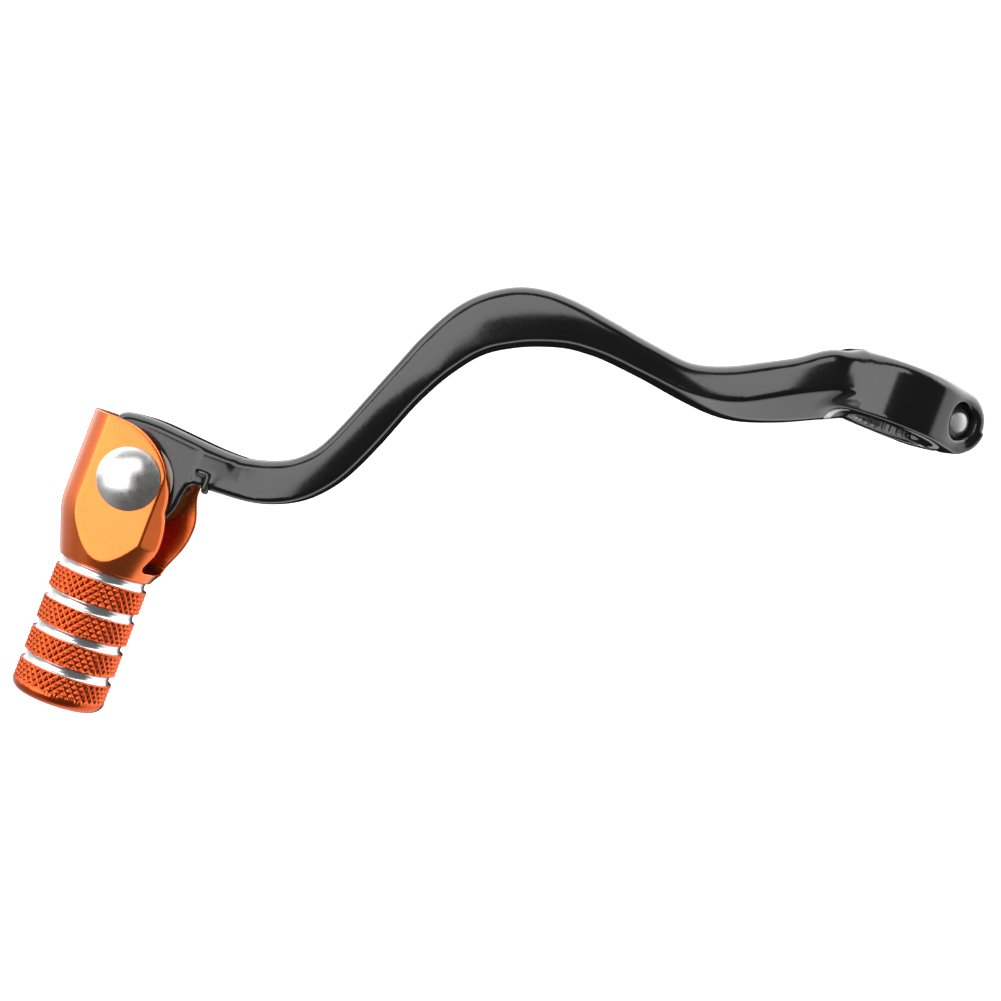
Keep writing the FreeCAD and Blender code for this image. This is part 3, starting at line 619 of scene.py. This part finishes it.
# ------------------------------------------------------------------ toe peg: clevis and cone
def build_clevis():
    h = 0.19
    lo = np.array([-13.4, -19.1, -13.4])
    n = (np.array([14.4, 11.0, 13.4]) - lo) / h
    nx, ny, nz = (int(v) + 1 for v in n)
    x = (lo[0] + h * np.arange(nx))[:, None, None].astype(f32)
    y = (lo[1] + h * np.arange(ny))[None, :, None].astype(f32)
    z = (lo[2] + h * np.arange(nz))[None, None, :].astype(f32)
    rad = np.sqrt(x ** 2 + z ** 2)
    m = (12.6 - 9.3) / 9.3
    # the far cheek swells towards the shaft
    s = np.clip((1.5 - y) / 7.0, 0, 1)
    q = np.clip(-z / 6.0, 0, 1)
    wide = 12.6 + 1.5 * s * s * (3 - 2 * s) * q * q * (3 - 2 * q) * np.clip(x / 6.0, 0, 1)
    fade = np.clip((y + 18.2) / 2.2, 0, 1)
    wide = 12.6 + (wide - 12.6) * fade
    cone = (rad - (wide + (y + 8.9) * m)) / math.sqrt(1 + m * m)
    d = smax(rad - wide, cone, 0.9)
    d = smax(d, y - 10.2, 0.35)
    d = smax(d, -18.25 - y, 0.25)
    d = smax(d, np.where(z > 0, 0.659 * (x - 6.4) + 0.753 * (z - 9.9), -5.0), 0.08)
    d = smax(d, np.abs(z) - 9.9, 0.12)
    X2, Y2 = np.meshgrid(x[:, 0, 0], y[0, :, 0], indexing="ij")
    pts = [(-7.65, 14), (-7.65, 6.55)]
    for k in range(0, 33):
        a = math.radians(142 + k * 128 / 32.0)
        pts.append((10.1 * math.cos(a), 10.1 * math.sin(a)))
    pts += [(1.2, -13.1), (1.6, -14.6), (2.6, -15.8), (4.2, -16.3), (16, -16.3), (16, 14)]
    slot = rounded(poly_dist(X2, Y2, pts)[:, :, None].astype(f32), z, 6.4, 1.6)
    # the slot stays full height where the knuckle turns
    d = smax(d, -slot, 0.3)
    cx, cy, cr = -5.7, -3.8, 14.0
    sw = [(16, 14), (cx, 14), (cx, 10.2)]
    for k in range(1, 31):
        a = math.radians(90 - k * 3.0)
        sw.append((cx + cr * math.cos(a), cy + cr * math.sin(a)))
    sw += [(8.9, -5.4), (9.3, -7.2), (9.55, -9.0), (9.6, -11.0), (9.5, -13.0), (9.1, -15.0), (16, -15.0)]
    sweep = np.maximum(poly_dist(X2, Y2, sw)[:, :, None].astype(f32), -z)
    d = smax(d, -sweep, 0.4)
    d = np.maximum(d, -(np.sqrt(x ** 2 + y ** 2) - 3.0))
    o = face_out(mesh_from_field("peg_clevis", d, lo + np.array([PIV[0], PIV[1], 0]), h))
    return o


clevis = build_clevis()
give(clevis, M_PEG)
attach(clevis, "peg")
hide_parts("toe_peg")

GROOVES = (-19.4, -25.9, -32.4, -38.8)


def build_grip():
    """Turned grip: real diamond knurl between four half-round grooves."""
    starts = 38
    per = 12
    n = starts * per
    pa = 1.75
    step = pa / per
    rows = []
    yv = -18.1
    while yv > -45.9 + 2.3:
        rows.append(yv)
        yv -= step
    K = 9.2
    prof = []
    for yv in rows:
        r, bare, amp = K, 0, 1.0
        gd = min(abs(yv - g) for g in GROOVES)
        if gd < 0.98:
            r = K - 0.30 - 0.62 * math.sqrt(max(0, 1 - (gd / 0.98) ** 2))
            bare, amp = 1, 0
        else:
            amp = min(1.0, (gd - 0.98) / 0.22)
        if yv > -18.45:
            r, amp, bare = K, 0, 0
        if yv < -43.1:
            amp = max(0.0, min(amp, (yv + 44.1)))
        prof.append((yv, r, amp, bare))
    yl = prof[-1][0]
    er = 2.3
    for k in range(1, 13):
        a = math.radians(7.5 * k)
        prof.append((-45.9 + er - er * math.sin(a), K - er + er * math.cos(a), 0, 0))
    for r in (6.2, 5.2, 3.6, 1.8, 0.6):
        prof.append((-45.9, r, 0, 0))
    prof = [p for i, p in enumerate(prof) if i == 0 or p[0] <= prof[i - 1][0] + 1e-9]
    m = len(prof)
    yy = np.array([p[0] for p in prof])
    rr = np.array([p[1] for p in prof])
    am = np.array([p[2] for p in prof])
    th = 2 * np.pi * np.arange(n) / n
    c1 = starts * th[None, :] / (2 * np.pi) + yy[:, None] / pa
    c2 = starts * th[None, :] / (2 * np.pi) - yy[:, None] / pa
    g1 = 1 - np.abs(2 * (c1 % 1) - 1)
    g2 = 1 - np.abs(2 * (c2 % 1) - 1)
    low = np.maximum(g1, g2)
    low = np.clip((low - 0.10) / 0.90, 0, 1)
    R = rr[:, None] - am[:, None] * 0.44 * low
    # small burrs and wear: each stud stands a little differently
    rng = np.random.default_rng(7)
    R = R - am[:, None] * 0.02 * rng.random(R.shape)
    px, py = PIV
    P = np.stack([px + R * np.cos(th)[None, :], np.broadcast_to(py + yy[:, None], R.shape), R * np.sin(th)[None, :]], 2).reshape(-1, 3)
    i, j = np.meshgrid(np.arange(m - 1), np.arange(n), indexing="ij")
    a = i * n + j
    b = i * n + (j + 1) % n
    quads = np.stack([a, b, b + n, a + n], 2).reshape(-1, 4)
    bare = np.array([1 if prof[k][3] and prof[min(k + 1, m - 1)][3] else 0 for k in range(m - 1)])
    P = np.vstack([P, [[px, py - 45.9, 0]], [[px, py - 18.1, 0]]])
    tip, root = m * n, m * n + 1
    t = []
    for k in range(n):
        t.append(((m - 1) * n + k, (m - 1) * n + (k + 1) % n, tip))
        t.append(((k + 1) % n, k, root))
    o = mesh_of("peg_grip", P, quads, t)
    idx = np.concatenate([np.repeat(bare, n), np.zeros(len(t), int)]).astype(np.int32)
    give(o, M_KNURL, M_BARE)
    o.data.polygons.foreach_set("material_index", idx)
    o.data.update()
    face_out(o)
    return o


grip = build_grip()
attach(grip, "peg")


# ------------------------------------------------------------------ turned pieces
def lathe(name, prof, n, origin, axis="Z", turn=0.0):
    """Spins (radius, height) pairs about local Z; turn tips it about +Y."""
    th = 2 * np.pi * np.arange(n) / n
    r = np.array([max(p[0], 0.0) for p in prof])
    w = np.array([p[1] for p in prof])
    P = np.stack([r[:, None] * np.cos(th), r[:, None] * np.sin(th), np.broadcast_to(w[:, None], (len(r), n))], 2).reshape(-1, 3)
    m = len(r)
    i, j = np.meshgrid(np.arange(m - 1), np.arange(n), indexing="ij")
    a = i * n + j
    b = i * n + (j + 1) % n
    quads = np.stack([a, b, b + n, a + n], 2).reshape(-1, 4)
    P = np.vstack([P, [[0, 0, w[0]]], [[0, 0, w[-1]]]])
    tris = [((k + 1) % n, k, m * n) for k in range(n)] + [((m - 1) * n + k, (m - 1) * n + (k + 1) % n, m * n + 1) for k in range(n)]
    c, s = math.cos(turn), math.sin(turn)
    Q = np.stack([P[:, 0] * c + P[:, 2] * s, P[:, 1], -P[:, 0] * s + P[:, 2] * c], 1) + np.array(origin)
    return face_out(mesh_of(name, Q, quads, tris))


def build_rivet():
    R, H = 6.12, 2.3
    S = (R * R + (H - 0.35) ** 2) / (2 * (H - 0.35))
    prof = [(0.02, -12.0)]
    for k in range(1, 13):
        a = math.radians(90 * k / 12)
        prof.append((4.3 * math.sin(a), -10.7 - 1.3 * math.cos(a)))
    prof += [(4.3, -10.72), (2.95, -10.70), (2.95, -10.6), (2.95, 9.8), (2.95, 9.9), (R - 0.12, 9.9), (R - 0.03, 9.93), (R, 10.02), (R, 10.2), (R - 0.02, 10.28)]
    amax = math.asin(R / S)
    for k in range(1, 40):
        a = amax * (1 - k / 40.0) * 0.995
        prof.append((S * math.sin(a), 9.9 + H - S + S * math.cos(a)))
    prof.append((0.02, 9.9 + H))
    o = lathe("rivet_domed", prof, 128, (PIV[0], PIV[1], 0))
    sharpen(o, 35)
    return o


rivet = build_rivet()
give(rivet, M_RIVET)
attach(rivet, "peg")
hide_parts("pivot_rivet")


def build_bolt():
    """M6 pinch bolt: threaded shank; a flanged hex head is made beside it."""
    org = (11.0 * CT, 0, -11.0 * SN)
    prof = [(0.02, -9.0), (2.95, -9.0), (2.95, -8.0)]
    w = -8.0
    while w < 5.6:
        prof += [(2.97, w + 0.12), (2.97, w + 0.22), (2.52, w + 0.62), (2.52, w + 0.70)]
        w += 1.0
    prof += [(2.95, 6.5), (2.20, 7.15)] + [(2.20 * math.cos(math.radians(9 * q_)), 7.15 + 0.55 * math.sin(math.radians(9 * q_))) for q_ in range(1, 10)] + [(0.02, 7.70)]
    sh = lathe("bolt_shank", prof, 96, org, turn=TURN)
    sharpen(sh, 28)
    h = 0.17
    lo = np.array([-6.6, -6.6, -15.6])
    n = (np.array([6.6, 6.6, -7.9]) - lo) / h
    nx, ny, nz = (int(v) + 1 for v in n)
    x = (lo[0] + h * np.arange(nx))[:, None, None]
    y = (lo[1] + h * np.arange(ny))[None, :, None]
    z = (lo[2] + h * np.arange(nz))[None, None, :]
    hexd = np.full((nx, ny, 1), -1e9)
    for k in range(3):
        a = math.radians(30 + 60 * k)
        hexd = np.maximum(hexd, np.abs(x * math.cos(a) + y * math.sin(a)) - 4.0)
    rho = np.sqrt(x ** 2 + y ** 2)
    head = np.maximum(hexd, np.abs(z + 12.0) - 3.35)
    head = smax(head, (rho - 4.35 - (z + 15.35) * 1.5) * 0.55, 0.15)
    dish = np.maximum(rho - 2.9, -(z + 15.05))
    fl = rounded(rho - 5.8, z + 9.05, 0.55, 0.25)
    cone = smax((rho - 5.7 - (-z - 9.6) * -2.4) * 0.38, np.abs(z + 10.1) - 0.7, 0.2)
    d = smin(smin(head, fl, 0.3), cone, 0.3)
    d = np.maximum(d, -np.maximum(rho - 2.7, z + 15.0)) + 0 * dish
    o = mesh_from_field("bolt_hex_head", d, lo, h)
    co = np.empty(len(o.data.vertices) * 3, f32)
    o.data.vertices.foreach_get("co", co)
    co = co.reshape(-1, 3) * 1000
    q = np.stack([co[:, 0] * CT + co[:, 2] * SN, co[:, 1], -co[:, 0] * SN + co[:, 2] * CT], 1) + np.array(org)
    o.data.vertices.foreach_set("co", (q * 0.001).astype(f32).ravel())
    o.data.update()
    face_out(o)
    return sh, o


shank, head = build_bolt()
for o, m_ in ((shank, M_BOLT), (head, M_HEAD)):
    give(o, m_)
    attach(o, "arm")
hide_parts("clamp_bolt")


# ------------------------------------------------------------------ return spring
def tube(name, path, r, n=14):
    """Round wire along a path, with capped ends."""
    p = np.array(path, float)
    T = np.gradient(p, axis=0)
    T /= np.linalg.norm(T, axis=1)[:, None]
    up = np.array([0, 0, 1.0]) if abs(T[0][2]) < 0.9 else np.array([1.0, 0, 0])
    a = np.cross(T[0], up)
    a /= np.linalg.norm(a)
    rings = []
    for k in range(len(p)):
        a = a - T[k] * (a @ T[k])
        a /= np.linalg.norm(a)
        b = np.cross(T[k], a)
        for q in range(n):
            t = 2 * math.pi * q / n
            rings.append(p[k] + r * (a * math.cos(t) + b * math.sin(t)))
    m = len(p)
    i, j = np.meshgrid(np.arange(m - 1), np.arange(n), indexing="ij")
    a_ = i * n + j
    b_ = i * n + (j + 1) % n
    quads = np.stack([a_, b_, b_ + n, a_ + n], 2).reshape(-1, 4)
    P = np.vstack([np.array(rings), p[:1] - T[0] * r * 0.15, p[-1:] + T[-1] * r * 0.15])
    tris = [((k + 1) % n, k, m * n) for k in range(n)] + [((m - 1) * n + k, (m - 1) * n + (k + 1) % n, m * n + 1) for k in range(n)]
    return face_out(mesh_of(name, P, quads, tris))


def fillet_path(pts, r=0.9, k=6):
    pts = [np.array(q, float) for q in pts]
    out = [pts[0]]
    for i in range(1, len(pts) - 1):
        a, b, c = pts[i - 1], pts[i], pts[i + 1]
        u, v = (a - b) / np.linalg.norm(a - b), (c - b) / np.linalg.norm(c - b)
        s = min(r, np.linalg.norm(a - b) * 0.45, np.linalg.norm(c - b) * 0.45)
        for t in np.linspace(0, 1, k):
            out.append((b + u * s) * (1 - t) ** 2 + 2 * b * t * (1 - t) + (b + v * s) * t ** 2)
    out.append(pts[-1])
    return out


px, py = PIV
z0, rise, cr = 1.05, 1.36, 5.05
coil = []
for k in range(0, 163):
    a = math.radians(90 + 5 * k)
    if 5 * k > 810:
        break
    coil.append((px + cr * math.cos(a), py + cr * math.sin(a), z0 + rise * (5 * k) / 360.0))
last = coil[-1]
coil += fillet_path([coil[-1], (last[0] + 0.0, last[1] - 0.8, last[2] + 0.35), (px - cr, py - 0.9, 6.0), (px - cr, py - 0.3, 7.4)], 0.4)[1:]
wire_a = tube("spring_coil", coil, 0.6)
leg = fillet_path([(px, py + cr, z0), (px + 10.0, py + cr, z0), (px + 11.1, py + 5.85, 5.25), (px + 13.3, py + 5.85, 5.25), (px + 13.3, py + 2.75, 5.25), (px + 13.3, py + 2.6, 3.0)], 0.8)
wire_b = tube("spring_leg", leg, 0.6)
for o in (wire_a, wire_b):
    give(o, M_SPRING)
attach(wire_b, "arm")
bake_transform(wire_a)
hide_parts("return_spring")

# ------------------------------------------------------------------ CAD pieces that stay as they are
for name, m in (("rivet_washer", M_RIVET), ("pivot_bush", M_BUSH), ("upper_thrust_washer", M_NYLON), ("lower_thrust_washer", M_NYLON)):
    give(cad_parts[name], m)

# ------------------------------------------------------------------ stage
def plane(name, cx, cy, cz, sx, sy, mat):
    p = [(cx - sx, cy - sy, cz), (cx + sx, cy - sy, cz), (cx + sx, cy + sy, cz), (cx - sx, cy + sy, cz)]
    o = mesh_of(name, p, [(0, 1, 2, 3)])
    give(o, mat)
    return o


m, nt, bs = nodes_of("floor_pale")
n_ = noise(nt, 3, 2, 0.5)
c_ = ramp(nt, n_.outputs["Fac"], [(0.3, (0.86, 0.86, 0.86)), (0.7, (0.90, 0.90, 0.90))])
nt.links.new(c_.outputs["Color"], bs.inputs["Base Color"])
bs.inputs["Roughness"].default_value = 0.9
bs.inputs["Specular IOR Level"].default_value = 0.1
bs.inputs["Emission Color"].default_value = (1, 1, 1, 1)
bs.inputs["Emission Strength"].default_value = 0.95
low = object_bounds()[0][2] * 1000
floor = plane("floor", -64, -46, low - 0.6, 6000, 6000, m)
floor.visible_glossy = False

ROLL = math.radians(21.0)
CENTRE = np.array([-64.5, -45.9])


def at(a, b, z):
    """Photo-aligned right and up, in millimetres from the view centre, to metres in the row frame."""
    c, s = math.cos(ROLL), math.sin(ROLL)
    return ((a * c - b * s + CENTRE[0]) * 0.001, (a * s + b * c + CENTRE[1]) * 0.001, z * 0.001)


def area(name, a, b, z, sx, sy, power, aim=(0, 0, 0), col=(1, 1, 1)):
    l = bpy.data.lights.new(name, "AREA")
    l.shape = "RECTANGLE"
    l.size, l.size_y = sx * 0.001, sy * 0.001
    l.energy = power
    l.color = col
    o = bpy.data.objects.new(name, l)
    SC.collection.objects.link(o)
    o.location = at(a, b, z)
    t = at(*aim)
    d = np.array(t) - np.array(o.location)
    from mathutils import Vector
    o.rotation_euler = Vector(d).to_track_quat("-Z", "Y").to_euler()
    return o


def flat_area(name, a0, a1, b0, b1, z, radiance):
    """Level softbox above the work, between photo-aligned limits, facing down."""
    l = bpy.data.lights.new(name, "AREA")
    l.shape = "RECTANGLE"
    l.size, l.size_y = (a1 - a0) * 0.001, (b1 - b0) * 0.001
    l.energy = radiance * math.pi * l.size * l.size_y
    o = bpy.data.objects.new(name, l)
    SC.collection.objects.link(o)
    o.location = at((a0 + a1) / 2, (b0 + b1) / 2, z)
    o.rotation_euler = (0, 0, ROLL)
    return o


flat_area("softbox_left", -1700, -190, -350, 900, 1000, 3.2)
flat_area("softbox_back", -190, 260, 330, 900, 1000, 3.2)

w = bpy.data.worlds.new("studio")
SC.world = w
w.use_nodes = True
nt = w.node_tree
bg = nt.nodes["Background"]
tc = nt.nodes.new("ShaderNodeTexCoord")


def along(vec):
    n = nt.nodes.new("ShaderNodeVectorMath")
    n.operation = "DOT_PRODUCT"
    nt.links.new(tc.outputs["Generated"], n.inputs[0])
    n.inputs[1].default_value = vec
    return n.outputs["Value"]


def band(src, *pairs):
    """Piecewise-linear curve of a -1..1 value."""
    m_ = nt.nodes.new("ShaderNodeMapRange")
    m_.inputs["From Min"].default_value = -1
    m_.inputs["From Max"].default_value = 1
    nt.links.new(src, m_.inputs["Value"])
    r_ = nt.nodes.new("ShaderNodeValToRGB")
    while len(r_.color_ramp.elements) < len(pairs):
        r_.color_ramp.elements.new(0.5)
    for e_, (pos, v_) in zip(r_.color_ramp.elements, pairs):
        e_.position = (pos + 1) / 2
        e_.color = (v_, v_, v_, 1)
    nt.links.new(m_.outputs["Result"], r_.inputs["Fac"])
    return r_.outputs["Color"]


def calc(op, a_, b_):
    n = nt.nodes.new("ShaderNodeMath")
    n.operation = op
    for i_, v_ in enumerate((a_, b_)):
        if isinstance(v_, (int, float)):
            n.inputs[i_].default_value = v_
        else:
            nt.links.new(v_, n.inputs[i_])
    return n.outputs[0]


cr_, sr_ = math.cos(ROLL), math.sin(ROLL)
right, up, high = along((cr_, sr_, 0)), along((-sr_, cr_, 0)), along((0, 0, 1))
below = calc("MULTIPLY", band(high, (-0.92, 0.0), (-0.78, 1.0), (-0.06, 1.0), (0.04, 0.0)), calc("MULTIPLY", band(up, (-0.3, 1.15), (0.3, 3.2)), band(right, (-0.8, 0.24), (-0.25, 1.0))))
back = calc("MULTIPLY", band(high, (-0.06, 0.0), (0.04, 1.0), (0.30, 1.0), (0.5, 0.0)), band(up, (0.05, 0.0), (0.45, 3.2)))
left = calc("MULTIPLY", band(high, (-0.06, 0.0), (0.04, 1.0), (0.50, 1.0), (0.65, 0.0)), band(right, (-0.75, 0.30), (-0.35, 0.0)))
rim = calc("MULTIPLY", band(high, (-0.06, 0.0), (0.04, 1.0), (0.22, 1.0), (0.32, 0.0)), band(right, (0.70, 0.0), (0.88, 1.6)))
total = calc("ADD", calc("ADD", calc("ADD", below, back), calc("ADD", left, rim)), band(high, (-0.92, 0.012), (-0.75, 0.13)))
nt.links.new(total, bg.inputs["Color"])
bg.inputs["Strength"].default_value = 1.0

cam = bpy.data.cameras.new("camera")
co = bpy.data.objects.new("camera", cam)
SC.collection.objects.link(co)
cam.sensor_width = 36
cam.lens = 62.708
cam.clip_start = 0.01
co.location = at(0, 0, 340)
co.rotation_euler = (0, 0, ROLL)
SC.camera = co
SC.view_settings.view_transform = "Standard"
SC.view_settings.look = "None"
